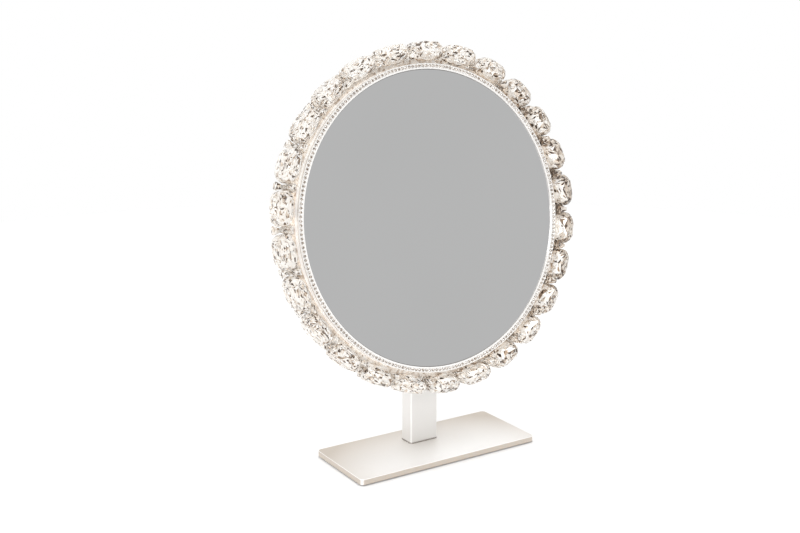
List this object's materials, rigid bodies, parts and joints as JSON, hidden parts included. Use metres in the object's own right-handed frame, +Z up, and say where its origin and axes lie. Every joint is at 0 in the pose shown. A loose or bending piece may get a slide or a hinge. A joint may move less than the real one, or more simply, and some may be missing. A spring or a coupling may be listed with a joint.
{
  "type": "vanity mirror",
  "caption": "Free-standing round table mirror with a ring of large cut crystals, tilting on a flat post over a rectangular base plate.",
  "frame": {"origin": "centre of the base's flat underside, on the surface that it stands on", "axes": "+Z up, -Y towards the user who looks into the mirror, +X to that user's right"},
  "size_m": [0.2958, 0.0798, 0.3569],
  "materials": {
    "pad_foam": "closed-cell foam sheet",
    "satin_champagne": "satin champagne-silver lacquer on steel",
    "fastener_steel": "nickel-plated steel",
    "washer_nylon": "natural nylon",
    "hinge_steel": "nickel-plated pressed steel",
    "cover_champagne": "satin champagne-silver lacquer on aluminium",
    "support_aluminium": "plain sheet",
    "mirror_silver": "silvered float glass",
    "polished_rim": "polished, warm nickel tone",
    "stone_glass": "foil-backed cut glass",
    "seat_champagne": "polished champagne anodised",
    "bead_glass": "clear cut glass",
    "crystal_glass": "clear cut glass, sharp polished facets"
  },
  "bodies": {
    "stand": {"base_pad": "pad_foam", "base_plate": "satin_champagne", "base_screws": "fastener_steel", "post_tube": "satin_champagne", "post_foot_block": "fastener_steel", "pivot_fork": "satin_champagne", "fork_set_screw": "fastener_steel", "pivot_bolt": "fastener_steel", "spring_washer": "fastener_steel", "pivot_nut": "fastener_steel", "friction_washers": "washer_nylon"},
    "head": {"hinge_plate": "hinge_steel", "hinge_screws": "fastener_steel", "back_cover": "cover_champagne", "cover_screws": "fastener_steel", "support_plate": "support_aluminium", "glass_pad": "pad_foam", "mirror_glass": "mirror_silver", "drum_ring": "polished_rim", "front_bezel": "polished_rim", "rim_stones": "stone_glass", "crystal_seat": "seat_champagne", "bead_pins": "fastener_steel", "spacer_beads": "bead_glass", "front_wedges": "crystal_glass", "back_wedges": "crystal_glass", "crown_stones": "crystal_glass", "crystal_01": "crystal_glass", "crystal_02": "crystal_glass", "crystal_03": "crystal_glass", "crystal_04": "crystal_glass", "crystal_05": "crystal_glass", "crystal_06": "crystal_glass", "crystal_07": "crystal_glass", "crystal_08": "crystal_glass", "crystal_09": "crystal_glass", "crystal_10": "crystal_glass", "crystal_11": "crystal_glass", "crystal_12": "crystal_glass", "crystal_13": "crystal_glass", "crystal_14": "crystal_glass", "crystal_15": "crystal_glass", "crystal_16": "crystal_glass", "crystal_17": "crystal_glass", "crystal_18": "crystal_glass", "crystal_19": "crystal_glass", "crystal_20": "crystal_glass", "crystal_21": "crystal_glass", "crystal_22": "crystal_glass", "crystal_23": "crystal_glass", "crystal_24": "crystal_glass", "crystal_25": "crystal_glass", "crystal_26": "crystal_glass"}
  },
  "joints": [
    {"name": "head_tilt", "type": "hinge", "parent": "stand", "child": "head", "pos_m": [0, 0.0132, 0.2065], "axis": [-1, 0, 0], "range_deg": [-7, 16]}
  ]
}
